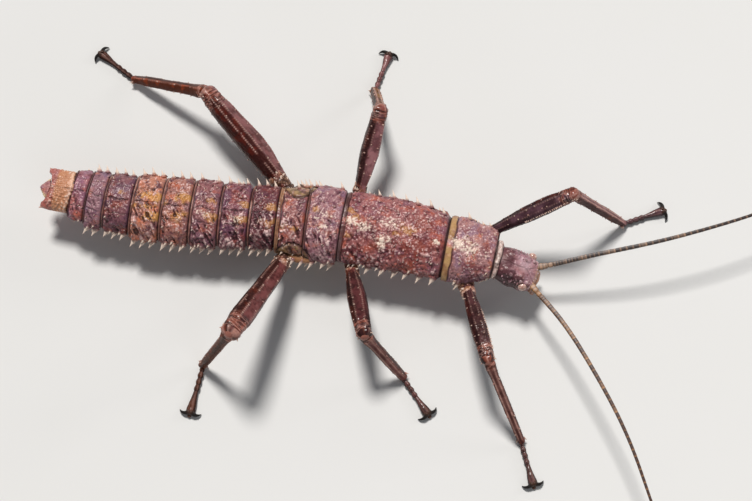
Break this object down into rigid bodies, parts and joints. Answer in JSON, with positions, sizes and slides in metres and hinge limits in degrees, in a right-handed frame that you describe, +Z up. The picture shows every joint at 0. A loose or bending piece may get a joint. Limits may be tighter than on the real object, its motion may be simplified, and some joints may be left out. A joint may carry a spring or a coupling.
{
  "type": "giant stick insect",
  "caption": "Still life-size model of a stout wingless stick insect, with a spiny flattened body, legs spread in a standing pose and long curved feelers.",
  "frame": {"origin": "on the surface that the insect stands on, under the middle of its whole extent, feelers included", "axes": "+X towards the head, +Y to the insect's left, +Z up"},
  "size_m": [0.1498, 0.0914, 0.0214],
  "materials": {
    "cuticle": "semi-gloss, mottled red-brown, purple-brown and ochre, with pale thorn tips",
    "leg": "semi-gloss dark mahogany with pale keels and teeth",
    "membrane": "soft, pale, finely wrinkled",
    "feeler": "satin brown with faint rings",
    "eye": "pale, glossy, finely dotted",
    "claw": "glossy black"
  },
  "bodies": {
    "root": {"abdomen_10": "cuticle", "abdomen_9": "cuticle", "abdomen_8": "cuticle", "abdomen_7": "cuticle", "abdomen_6": "cuticle", "abdomen_5": "cuticle", "abdomen_4": "cuticle", "abdomen_3": "cuticle", "abdomen_2": "cuticle", "median_segment": "cuticle", "metathorax": "cuticle", "mesothorax": "cuticle", "prothorax": "cuticle", "neck": "membrane", "tail_tip": "cuticle", "head": "cuticle", "mouthparts": "leg", "eye_left": "eye", "feeler_left": "feeler", "eye_right": "eye", "feeler_right": "feeler", "coxa_front_left": "leg", "femur_front_left": "leg", "tibia_front_left": "leg", "tarsus_front_left": "leg", "claws_front_left": "claw", "coxa_front_right": "leg", "femur_front_right": "leg", "tibia_front_right": "leg", "tarsus_front_right": "leg", "claws_front_right": "claw", "coxa_mid_left": "leg", "femur_mid_left": "leg", "tibia_mid_left": "leg", "tarsus_mid_left": "leg", "claws_mid_left": "claw", "coxa_mid_right": "leg", "femur_mid_right": "leg", "tibia_mid_right": "leg", "tarsus_mid_right": "leg", "claws_mid_right": "claw", "coxa_hind_left": "leg", "femur_hind_left": "leg", "tibia_hind_left": "leg", "tarsus_hind_left": "leg", "claws_hind_left": "claw", "coxa_hind_right": "leg", "femur_hind_right": "leg", "tibia_hind_right": "leg", "tarsus_hind_right": "leg", "claws_hind_right": "claw"}
  },
  "joints": []
}
